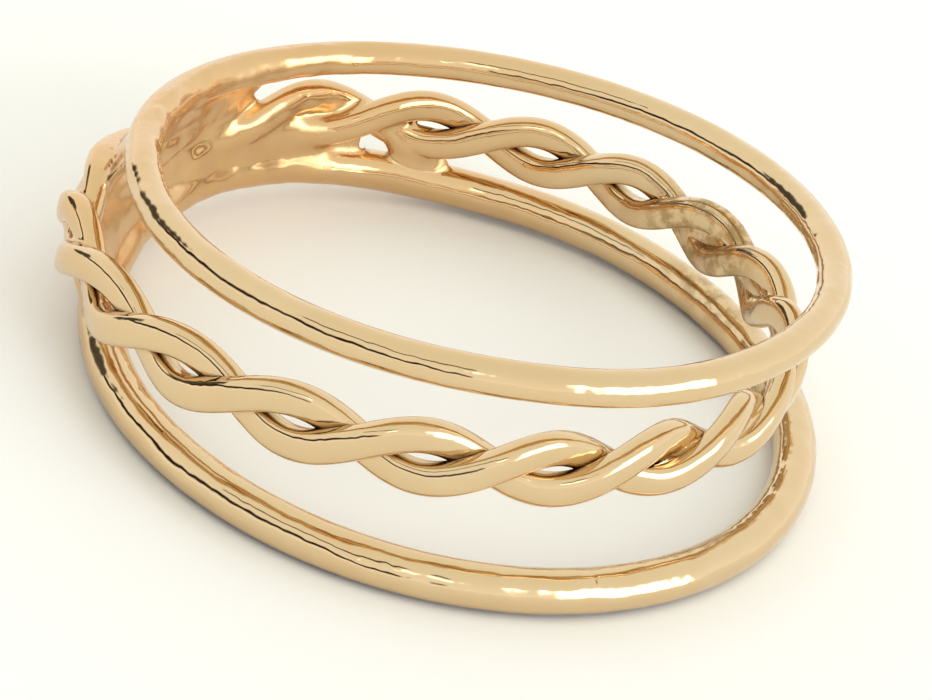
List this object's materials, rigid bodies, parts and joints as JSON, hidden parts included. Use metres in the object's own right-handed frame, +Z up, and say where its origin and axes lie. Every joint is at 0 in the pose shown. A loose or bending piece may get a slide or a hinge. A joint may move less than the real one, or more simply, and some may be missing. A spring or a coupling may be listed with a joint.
{
  "type": "toe ring",
  "caption": "Toe ring of polished yellow gold: a plain wire hoop, a flattened twisted-wire hoop and a thinner plain hoop, soldered side by side at the back and fanned apart at the front",
  "frame": {"origin": "on the surface that the ring lies on, below the middle of its box", "axes": "+Z is up along the ring's axis, from the thicker plain hoop to the thinner one; +Y points to the back, where the hoops are soldered together; -Y points to the front, where they are spread apart"},
  "size_m": [0.0178, 0.0176, 0.0059],
  "materials": {
    "gold": "polished yellow gold"
  },
  "bodies": {
    "root": {"toe_ring": "gold"}
  },
  "joints": []
}
